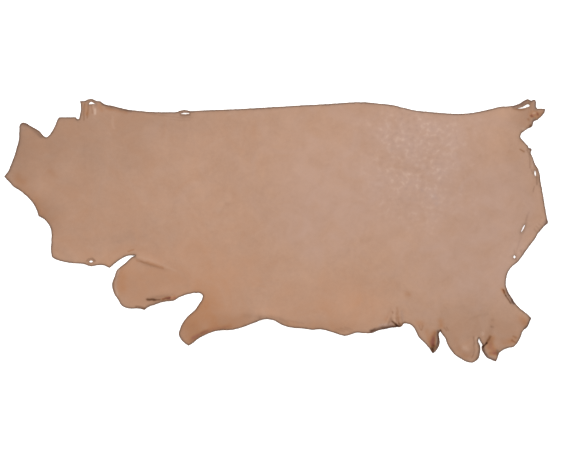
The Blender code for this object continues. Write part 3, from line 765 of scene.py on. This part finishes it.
def stamp(distance, points, reach, origin, step):
    """Lowers a lattice's distances to those from the points, counted less each point's own reach.

    Row j of the lattice is j * step * sqrt(3) / 2 up, and every other row is shifted by half a step. Each
    point is set against the lattice's points in a square around it, all at once.
    """
    rise = step * np.sqrt(3) / 2
    around = int(np.ceil(STAMP_REACH / rise)) + 1
    near = np.arange(-around, around + 1)
    row = (np.round((points[:, 1] - origin[1]) / rise).astype(int)[:, None] + near)[:, :, None]
    middle = np.round((points[:, 0, None, None] - origin[0]) / step - row % 2 / 2).astype(int)
    column = middle + near[None, None, :]
    x = origin[0] + (column + row % 2 / 2) * step
    y = origin[1] + row * rise
    away = np.hypot(x - points[:, 0, None, None], y - points[:, 1, None, None]) - reach[:, None, None]
    row = np.broadcast_to(row, away.shape)
    fits = (row >= 0) & (row < distance.shape[0]) & (column >= 0) & (column < distance.shape[1])
    np.minimum.at(distance, (row[fits], column[fits]), away[fits])


def graded_points(loops, step):
    """Points of a triangular lattice: all near rims and marks, one in four further off, then one in sixteen.

    The coarser points are points of the finer lattice too, so the three spacings meet without crowding.
    """
    rims = np.vstack(loops)
    origin = rims.min(axis=0) - STAMP_REACH
    size = rims.max(axis=0) + STAMP_REACH - origin
    rise = step * np.sqrt(3) / 2
    shape = (int(size[1] / rise), int(size[0] / step))
    to_rim, to_fine = np.full(shape, STAMP_REACH), np.full(shape, STAMP_REACH)
    stamp(to_rim, rims, np.zeros(len(rims)), origin, step)
    features, reach = feature_points(2 * step)
    stamp(to_fine, features, reach, origin, step)
    row, column = np.indices(shape)
    half = (row % 2 == 0) & ((column - row // 2 % 2) % 2 == 0)
    quarter = (row % 4 == 0) & ((column - 2 * (row // 4 % 2)) % 4 == 0)
    away = np.minimum(to_rim, np.maximum(to_fine, 0) + FINE_BAND)
    away = np.where(to_fine <= 0, 0, away)
    kept = (away <= FINE_BAND) | half & (away <= MIDDLE_BAND) | quarter
    kept &= to_rim > RIM_CLEARANCE * step
    return np.column_stack((
        origin[0] + (column[kept] + row[kept] % 2 / 2) * step,
        origin[1] + row[kept] * rise,
    ))


def cut_plan(loops, step):
    """The plan's points, the loops' first, and its triangles, counterclockwise from above, holes left out."""
    points = np.vstack(loops + [graded_points(loops, step)])
    edges = []
    for loop in loops:
        first = len(edges)
        last = first + len(loop) - 1
        edges += [(a, a + 1) for a in range(first, last)] + [(last, first)]
    plan, _, faces, *_ = delaunay_2d_cdt([Vector(p) for p in points], edges, [], WITHIN_RIM, SAME_POINT)
    if len(plan) != len(points):
        raise RuntimeError("the hide's rim or a hole crosses itself")
    faces = np.array(faces)
    middles = points[faces].mean(axis=1)
    for hole in loops[1:]:
        near = (middles > hole.min(axis=0)).all(axis=1) & (middles < hole.max(axis=0)).all(axis=1)
        near[near] = inside(middles[near], hole)
        faces, middles = faces[~near], middles[~near]
    a, b, c = points[faces].transpose(1, 0, 2)
    turn = (b - a)[:, 0] * (c - a)[:, 1] - (b - a)[:, 1] * (c - a)[:, 0]
    faces[turn < 0] = faces[turn < 0][:, ::-1]
    used, renumbered = np.unique(faces, return_inverse=True)
    return points[used], renumbered.reshape(faces.shape)


def upright(points, faces):
    """Unit normals at the points: the sum of the normals of the triangles around each, weighted by area."""
    a, b, c = points[faces].transpose(1, 0, 2)
    across = np.cross(b - a, c - a)
    summed = [
        np.bincount(faces.ravel(), np.repeat(across[:, i], 3), minlength=len(points)) for i in range(3)
    ]
    return unit(np.column_stack(summed))


def rim_strips(rows, loops):
    """Quads between each two rows of rim points, loop by loop, whose faces point out of the leather."""
    ends = np.cumsum([len(loop) for loop in loops])
    there = np.concatenate([np.roll(np.arange(end - len(loop), end), -1) for loop, end in zip(loops, ends)])
    pairs = zip(rows[:-1], rows[1:])
    return [np.column_stack((upper, upper[there], lower[there], lower)) for upper, lower in pairs]


def put_mesh(name, points, polygons, slots):
    """A mesh object at the origin. slots gives each group of polygons its material's number."""
    mesh = bpy.data.meshes.new(name)
    counts = np.concatenate([np.full(len(group), group.shape[1]) for group in polygons])
    corners = np.concatenate([group.ravel() for group in polygons])
    mesh.vertices.add(len(points))
    mesh.vertices.foreach_set("co", points.ravel())
    mesh.loops.add(len(corners))
    mesh.loops.foreach_set("vertex_index", corners)
    mesh.polygons.add(len(counts))
    mesh.polygons.foreach_set("loop_start", np.cumsum(counts) - counts)
    material = np.concatenate([np.full(len(group), slot) for group, slot in zip(polygons, slots)])
    mesh.polygons.foreach_set("material_index", material)
    mesh.update(calc_edges=True)
    mesh.validate()
    mesh.shade_smooth()
    piece = bpy.data.objects.new(name, mesh)
    bpy.context.scene.collection.objects.link(piece)
    return piece


def put_attribute(piece, name, values):
    """A number at each point of the piece, which its material reads."""
    piece.data.attributes.new(name, "FLOAT", "POINT").data.foreach_set("value", values)


def rounded_cut(top, foot, outward, up, shoulder, heel):
    """The rows of points over the rim, from the grain's edge to the flesh side's.

    Measured out of the leather and up, the upper rows lie at (r sin t - r, r cos t - r) from the top, with r
    the shoulder. The lower rows lie at (r cos t - r, r - r sin t) from the foot, with r the heel. t runs from
    0 to 90 degrees.
    """
    upper = [
        top + outward * shoulder * (np.sin(t) - 1) + up * shoulder * (np.cos(t) - 1)
        for t in np.radians(GRAIN_TURNS)
    ]
    lower = [
        foot + outward * heel * (np.cos(t) - 1) + up * heel * (1 - np.sin(t)) for t in np.radians(FLESH_TURNS)
    ]
    return upper + lower


def hide_mesh(name, s):
    """The hide's mesh: flesh side, grain side one thickness above it, and the rounded cut rim between them.

    The flesh side lies at the folds' height, with long low swells and a rim that lifts here and there. The
    grain side is the flesh side moved along its normal by the thickness and by the marks' height.
    """
    loops = cut_loops(s.mesh_step, s.fray)
    plan, faces = cut_plan(loops, s.mesh_step)
    rims = np.vstack(loops)
    count, rim = len(plan), len(rims)
    ring = np.arange(rim)
    to_rim = distance_to(plan, rims, RIM_TINT_REACH)
    to_rim[ring] = 0
    to_outline = distance_to(plan, loops[0], RIM_TINT_REACH)
    # The rim's dark line, partly painted shade of the curled rim, is full on the outline, weaker at holes
    darkened = np.where(to_outline > to_rim + s.mesh_step, DARKENED_AT_HOLES, 1)

    near_rim = np.exp(-((to_rim / LIFT_REACH) ** 2))
    lift = s.lift * (np.clip(soft_noise(plan, "rim lift") + LIFT_BIAS, 0, 1) * near_rim)
    swell = s.swell * np.clip(soft_noise(plan, "swell"), 0, 1)
    under = np.column_stack((plan * s.length / DRAWN_LENGTH, fold_height(plan) + lift + swell))
    normal = upright(under, faces)
    height, marks = grain_marks(plan)
    relief = np.clip(height, -DEEPEST_GROOVE * s.thickness, HIGHEST_RIDGE * s.thickness)
    thickness = s.thickness + MM * soft_noise(plan, "pebble")
    grain = under + normal * (thickness + relief)[:, None]

    up = normal[ring]
    outward = np.vstack([out_of_leather(loop) for loop in loops])
    outward = np.column_stack((outward, np.zeros(rim)))
    outward = unit(outward - (outward * up).sum(axis=1, keepdims=True) * up)
    cut = rounded_cut(grain[ring], under[ring], outward, up, s.shoulder, s.heel)
    grain[ring], under[ring] = cut[0], cut[-1]
    between = cut[1:-1]

    rows = [ring] + [2 * count + i * rim + ring for i in range(len(between))] + [count + ring]
    piece = put_mesh(
        name,
        np.vstack([grain, under] + between),
        [faces, faces[:, ::-1] + count] + rim_strips(rows, loops),
        (GRAIN, FLESH) + STRIP_SLOTS,
    )
    everywhere = np.concatenate([np.arange(count)] * 2 + [ring] * len(between))
    off_flesh = np.repeat((1.0, 0.0, 1.0), (count, count, rim * len(between)))
    values = {"to_rim": to_rim[everywhere], "darkened": darkened[everywhere]}
    values |= {label: mark[everywhere] * off_flesh for label, mark in marks.items()}
    values["depth"] = np.repeat((0, 1) + ROW_DEPTHS, [count, count] + [rim] * len(between))
    for label, value in values.items():
        put_attribute(piece, label, value)
    return piece


def node(tree, kind, inputs=(), **settings):
    """A new node with its settings. An input is set to a value, or linked where the value is a socket."""
    made = tree.nodes.new(kind)
    for name, value in settings.items():
        setattr(made, name, value)
    for name, value in dict(inputs).items():
        if isinstance(value, bpy.types.NodeSocket):
            tree.links.new(value, made.inputs[name])
        else:
            made.inputs[name].default_value = value
    return made


def plus(tree, a, b):
    """The sum of two values."""
    return node(tree, "ShaderNodeMath", {0: a, 1: b}, operation="ADD").outputs[0]


def times(tree, a, b, clamp=False):
    """The product of two values, held between 0 and 1 if it is clamped."""
    return node(tree, "ShaderNodeMath", {0: a, 1: b}, operation="MULTIPLY", use_clamp=clamp).outputs[0]


def swing(tree, value, gain):
    """(value - 0.5) * gain, which is 0 at the middle of a noise."""
    off_middle = node(tree, "ShaderNodeMath", {0: value, 1: 0.5}, operation="SUBTRACT").outputs[0]
    return times(tree, off_middle, gain)


def mixed(tree, factor, a, b):
    """The first colour where the factor is 0 or less, the second where it is 1 or more, and a mix between."""
    inputs = {0: factor, 6: a, 7: b}
    return node(tree, "ShaderNodeMix", inputs, data_type="RGBA", clamp_factor=True).outputs[2]


def ranged(tree, value, low, high, to_low=0.0, to_high=1.0, smooth=False):
    """A value, carried from one range to another and held there."""
    inputs = {"Value": value, "From Min": low, "From Max": high, "To Min": to_low, "To Max": to_high}
    kind = "SMOOTHSTEP" if smooth else "LINEAR"
    return node(tree, "ShaderNodeMapRange", inputs, interpolation_type=kind).outputs["Result"]


def noise(tree, vector, scale, detail=2.0, roughness=0.5, distortion=0.0):
    """The value of a Noise texture, from 0 to 1."""
    inputs = {
        "Vector": vector, "Scale": scale, "Detail": detail, "Roughness": roughness, "Distortion": distortion,
    }
    return node(tree, "ShaderNodeTexNoise", inputs).outputs[0]


def attribute(tree, name):
    """The number that the mesh holds at each point."""
    return node(tree, "ShaderNodeAttribute", attribute_name=name).outputs["Fac"]


def new_group(name, outputs):
    """A shader node group that takes a place on the hide and puts out the named values."""
    tree = bpy.data.node_groups.new(name, "ShaderNodeTree")
    tree.interface.new_socket("Vector", in_out="INPUT", socket_type="NodeSocketVector")
    for output in outputs:
        tree.interface.new_socket(output, in_out="OUTPUT", socket_type="NodeSocketFloat")
    place = tree.nodes.new("NodeGroupInput").outputs["Vector"]
    return tree, place


def close_group(tree, values):
    """Links the values to the group's outputs."""
    end = tree.nodes.new("NodeGroupOutput")
    for name, value in values.items():
        tree.links.new(value, end.inputs[name])
    return tree


def cloud_group():
    """Colour variation of tanned skin, in one output for each layer of clouding."""
    tree, place = new_group("skin clouds", CLOUD_LAYERS)
    layers = {name: noise(tree, place, *settings[:4]) for name, settings in CLOUD_LAYERS.items()}
    return close_group(tree, layers)


def nap_group():
    """Fibres of the corium: short strands 6 mm long, tangled by a coarser noise, and tufts between them."""
    tree, place = new_group("corium nap", ("Fibres", "Tufts"))
    tangle = node(tree, "ShaderNodeTexNoise", {"Vector": place, "Scale": 90, "Detail": 2}).outputs["Color"]
    shift = node(tree, "ShaderNodeVectorMath", {0: tangle, "Scale": 0.02}, operation="SCALE").outputs[0]
    bent = node(tree, "ShaderNodeVectorMath", {0: place, 1: shift}, operation="ADD").outputs[0]
    stretched = node(tree, "ShaderNodeMapping", {"Vector": bent, "Scale": (1, 4, 4)}).outputs[0]
    return close_group(tree, {
        "Fibres": noise(tree, stretched, 260, 3, 0.65),
        "Tufts": noise(tree, place, 70, 3, 0.6, 1.0),
    })


def hair_cell_group():
    """Grain of the skin: follicle pores about 1.1 mm apart, and a net of finer furrows 3 mm across."""
    tree, place = new_group("hair cells", ("Height", "Pores"))
    warped = node(tree, "ShaderNodeMapping", {"Vector": place, "Scale": (1, 0.8, 1)}).outputs[0]
    to_pore = node(tree, "ShaderNodeTexVoronoi", {"Vector": warped, "Scale": 900}).outputs["Distance"]
    cells = {"Vector": warped, "Scale": 340}
    to_edge = node(tree, "ShaderNodeTexVoronoi", cells, feature="DISTANCE_TO_EDGE").outputs["Distance"]
    pores = ranged(tree, to_pore, 0, 0.35, 1, 0, smooth=True)
    furrows = ranged(tree, to_edge, 0, 0.12, 1, 0, smooth=True)
    pillows = times(tree, noise(tree, place, 500, 3, 0.6), 0.5)
    hollows = plus(tree, times(tree, pores, -0.6), times(tree, furrows, -0.4))
    return close_group(tree, {"Height": plus(tree, pillows, hollows), "Pores": pores})


def use_group(tree, group, place):
    """The outputs of a group placed in a material."""
    placed = tree.nodes.new("ShaderNodeGroup")
    placed.node_tree = group
    tree.links.new(place, placed.inputs["Vector"])
    return placed.outputs


def new_material(name):
    """A material with its shader and the hide's own coordinates."""
    material = bpy.data.materials.new(name)
    material.use_nodes = True
    tree = material.node_tree
    place = tree.nodes.new("ShaderNodeTexCoord").outputs["Object"]
    return material, tree, tree.nodes["Principled BSDF"], place


def bumped(tree, shader, height, depth):
    """Feeds a height into the shader's normal."""
    bump = node(tree, "ShaderNodeBump", {"Height": height, "Distance": depth, "Strength": 1.0})
    tree.links.new(bump.outputs["Normal"], shader.inputs["Normal"])


def tanned_color(tree, s, place, cloud):
    """Undyed grain: clouded tan, stained by hue from ash to rust and madder, and lightened by its shade."""
    light = 0.5
    for layer, (*_, gain) in CLOUD_LAYERS.items():
        light = plus(tree, light, swing(tree, cloud[layer], gain))
    color = mixed(tree, light, s.grain_dark, s.grain_light)
    stain = times(tree, attribute(tree, "hue"), ranged(tree, cloud["Blotches"], 0.3, 0.7, 0.75, 1.25))
    stain = plus(tree, stain, swing(tree, noise(tree, place, 7, 3, 0.6, 1.0), 0.9))
    color = mixed(tree, stain, color, s.rust)
    color = mixed(tree, plus(tree, stain, -1), color, s.madder)
    color = mixed(tree, times(tree, stain, -1), color, s.ash)
    lightness = plus(tree, attribute(tree, "shade"), 1)
    return node(tree, "ShaderNodeVectorMath", {0: color, "Scale": lightness}, operation="SCALE").outputs[0]


def flecked(tree, s, color, cloud, fleck, polish_and_sheen):
    """The colour with pale flecks, gathered in blotches, and dull dips between them where it is polished."""
    # The pale flecks are painted sheen of the polished grain; the same noise bumps it and darkens its dips
    peaks = times(tree, ranged(tree, fleck, 0.52, 0.76), polish_and_sheen, clamp=True)
    gathered = times(tree, peaks, ranged(tree, cloud["Blotches"], 0.4, 0.65, 0.25, 1))
    dips = times(tree, ranged(tree, fleck, 0.44, 0.26), polish_and_sheen, clamp=True)
    color = mixed(tree, times(tree, gathered, 0.3), color, s.gleam)
    return mixed(tree, times(tree, dips, 0.1), color, s.dark_leather_and_shade)


def marked(tree, s, color, cloud, pores, band, line):
    """The colour, greyed towards the cut, dark in the creases and pores, and pale on the gleams."""
    color = mixed(tree, times(tree, band, 0.22), color, s.dark_leather_and_shade)
    color = mixed(tree, times(tree, line, 0.78), color, s.dark_leather_and_shade)
    # A dark tone is painted shade, over a crease's own darker leather; a light tone mostly a painted highlight
    tone = times(tree, attribute(tree, "tone"), ranged(tree, cloud["Speckle"], 0.3, 0.7, 0.85, 1.15))
    color = mixed(tree, times(tree, tone, -1), color, s.crease)
    color = mixed(tree, tone, color, s.gleam)
    return mixed(tree, times(tree, pores, 0.12), color, s.dark_leather_and_shade)


def grain_material(s, clouds, hair_cells):
    """The grain side, glossier where it is polished, and duller along the cut and in the creases."""
    material, tree, shader, place = new_material("leather_grain")
    cloud = use_group(tree, clouds, place)
    cells = use_group(tree, hair_cells, place)
    polish_and_sheen = attribute(tree, "polish_and_sheen")
    fleck = noise(tree, place, 46, 1, 0.4)
    uneven_rim = plus(tree, attribute(tree, "to_rim"), swing(tree, cloud["Mottle"], 6 * MM))
    # line: the rim's dark line, partly darker leather along the cut, partly painted shade of the curled rim
    band = ranged(tree, uneven_rim, 0, 18 * MM, 1, 0)
    line = times(tree, ranged(tree, uneven_rim, 2 * MM, 9 * MM, 1, 0), attribute(tree, "darkened"))

    color = flecked(tree, s, tanned_color(tree, s, place, cloud), cloud, fleck, polish_and_sheen)
    tree.links.new(marked(tree, s, color, cloud, cells["Pores"], band, line), shader.inputs["Base Color"])

    rough = plus(tree, ranged(tree, cloud["Blotches"], 0.3, 0.7, 0.5, 0.6), times(tree, polish_and_sheen, -0.1))
    tree.links.new(plus(tree, rough, times(tree, band, 0.2)), shader.inputs["Roughness"])
    # The dark marks and the rim's line, partly painted shade, lose their specular reflection
    dull = plus(tree, times(tree, attribute(tree, "tone"), -1, clamp=True), times(tree, line, 0.6))
    tree.links.new(ranged(tree, dull, 0, 0.6, 0.4, 0.02), shader.inputs["Specular IOR Level"])

    height = plus(tree, cells["Height"], times(tree, cloud["Mottle"], 3))
    height = plus(tree, height, times(tree, times(tree, fleck, polish_and_sheen), 4))
    bumped(tree, shader, height, 0.12 * MM)
    return material


def cut_material(s, clouds, nap):
    """The cut edge: a dark grain layer above paler, fibrous core leather."""
    material, tree, shader, place = new_material("leather_cut_edge")
    cloud = use_group(tree, clouds, place)
    fibres = use_group(tree, nap, place)
    depth = attribute(tree, "depth")
    color = mixed(tree, ranged(tree, depth, 0.1, 0.45, smooth=True), s.dark_leather_and_shade, s.core)
    color = mixed(tree, ranged(tree, fibres["Fibres"], 0.35, 0.65, 0, 0.45), color, s.dark_leather_and_shade)
    color = mixed(tree, ranged(tree, cloud["Mottle"], 0.35, 0.65, 0, 0.3), color, s.grain_dark)
    tree.links.new(color, shader.inputs["Base Color"])
    rough = ranged(tree, fibres["Tufts"], 0.3, 0.7, 0.75, 0.92)
    tree.links.new(rough, shader.inputs["Roughness"])
    bumped(tree, shader, fibres["Fibres"], 0.4 * MM)
    return material


def flesh_material(s, clouds, nap):
    """The flesh side: pale fibrous suede, clouded and greyer near the rim."""
    material, tree, shader, place = new_material("leather_flesh_side")
    cloud = use_group(tree, clouds, place)
    fibres = use_group(tree, nap, place)
    color = mixed(tree, ranged(tree, cloud["Blotches"], 0.3, 0.7), s.core, s.flesh)
    color = mixed(tree, ranged(tree, fibres["Tufts"], 0.4, 0.7, 0, 0.35), color, s.grain_dark)
    color = mixed(tree, ranged(tree, fibres["Fibres"], 0.4, 0.7, 0, 0.3), color, s.grain_light)
    band = ranged(tree, attribute(tree, "to_rim"), 0, 15 * MM, 0.5, 0, smooth=True)
    color = mixed(tree, band, color, s.dark_leather_and_shade)
    tree.links.new(color, shader.inputs["Base Color"])
    rough = ranged(tree, fibres["Tufts"], 0.3, 0.7, 0.8, 0.95)
    tree.links.new(rough, shader.inputs["Roughness"])
    shader.inputs["Sheen Weight"].default_value = 0.25
    shader.inputs["Sheen Roughness"].default_value = 0.5
    height = plus(tree, fibres["Fibres"], times(tree, fibres["Tufts"], 2))
    bumped(tree, shader, height, 0.5 * MM)
    return material


class LEATHER_OT_side(bpy.types.Operator):
    """Make the leather side, with its grain, cut edge and flesh side"""

    bl_idname = "leather.side"
    bl_label = "Leather side"

    def execute(self, context):
        s = context.scene.hide_settings
        hide = hide_mesh("hide", s)
        clouds, nap, hair_cells = cloud_group(), nap_group(), hair_cell_group()
        hide.data.materials.append(grain_material(s, clouds, hair_cells))
        hide.data.materials.append(cut_material(s, clouds, nap))
        hide.data.materials.append(flesh_material(s, clouds, nap))
        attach(hide, "root")
        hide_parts("leather_side")
        return {"FINISHED"}


def floor_mesh(name, half, cells, height):
    """A flat grid over a square: x and y each run from minus half to half, at one height."""
    steps = np.linspace(-half, half, cells + 1)
    x, y = np.meshgrid(steps, steps)
    points = np.column_stack((x.ravel(), y.ravel(), np.full(x.size, height)))
    corner = (np.arange(cells)[:, None] * (cells + 1) + np.arange(cells)).ravel()
    quads = np.column_stack((corner, corner + 1, corner + cells + 2, corner + cells + 1))
    return put_mesh(name, points, [quads], [0])


def floor_material(color, glow):
    """Pale paper on a light table, a little uneven in its gloss."""
    material, tree, shader, place = new_material("pale_paper")
    shader.inputs["Base Color"].default_value = color
    tree.links.new(ranged(tree, noise(tree, place, 3, 2), 0.3, 0.7, 0.85, 0.95), shader.inputs["Roughness"])
    shader.inputs["Specular IOR Level"].default_value = 0.2
    shader.inputs["Emission Color"].default_value = color
    shader.inputs["Emission Strength"].default_value = glow
    return material


def soft_box(name, place, size, power):
    """An area light at a place, facing the hide's middle."""
    light = bpy.data.lights.new(name, "AREA")
    light.shape = "RECTANGLE"
    light.size, light.size_y = size
    light.energy = power
    lamp = bpy.data.objects.new(name, light)
    bpy.context.scene.collection.objects.link(lamp)
    lamp.location = place
    lamp.rotation_euler = (-Vector(place)).to_track_quat("-Z", "Y").to_euler()


class LEATHER_OT_studio(bpy.types.Operator):
    """Set the pale floor, the soft lights and the camera above the hide"""

    bl_idname = "leather.studio"
    bl_label = "Studio"

    def execute(self, context):
        scene = context.scene
        s = scene.studio_settings
        floor = floor_mesh("studio_floor", FLOOR_HALF, FLOOR_CELLS, FLOOR_HEIGHT - FLOOR_GAP)
        floor.data.materials.append(floor_material(s.floor_color, s.floor_glow))

        for (name, place, size), power in zip(SOFT_BOXES, (s.key_power, s.side_power)):
            soft_box(name, place, size, power)

        world = bpy.data.worlds.new("studio_surround")
        world.use_nodes = True
        background = world.node_tree.nodes["Background"]
        background.inputs["Color"].default_value = (1, 1, 1, 1)
        background.inputs["Strength"].default_value = s.sky_strength
        scene.world = world
        scene.view_settings.view_transform = "Standard"

        camera = bpy.data.cameras.new("studio_camera")
        camera.lens = s.lens
        eye = bpy.data.objects.new("studio_camera", camera)
        scene.collection.objects.link(eye)
        eye.location = (s.aim_x, s.aim_y, s.frame_width * s.lens / camera.sensor_width)
        scene.camera = eye
        return {"FINISHED"}


class LEATHER_PT_panel(bpy.types.Panel):
    """Sizes, colours and buttons of the leather side"""

    bl_label = "Leather side"
    bl_space_type = "VIEW_3D"
    bl_region_type = "UI"
    bl_category = "Leather"

    def draw(self, context):
        for group, button in (
            (context.scene.hide_settings, "leather.side"),
            (context.scene.studio_settings, "leather.studio"),
        ):
            box = self.layout.box()
            for name in group.__annotations__:
                box.prop(group, name)
            box.operator(button)


CLASSES = (HideSettings, StudioSettings, LEATHER_OT_side, LEATHER_OT_studio, LEATHER_PT_panel)


def register():
    for kind in CLASSES:
        bpy.utils.register_class(kind)
    bpy.types.Scene.hide_settings = PointerProperty(type=HideSettings)
    bpy.types.Scene.studio_settings = PointerProperty(type=StudioSettings)


def unregister():
    del bpy.types.Scene.studio_settings
    del bpy.types.Scene.hide_settings
    for kind in reversed(CLASSES):
        bpy.utils.unregister_class(kind)


def main():
    register()
    bpy.ops.leather.studio()
    bpy.ops.leather.side()


if __name__ == "__main__":
    main()
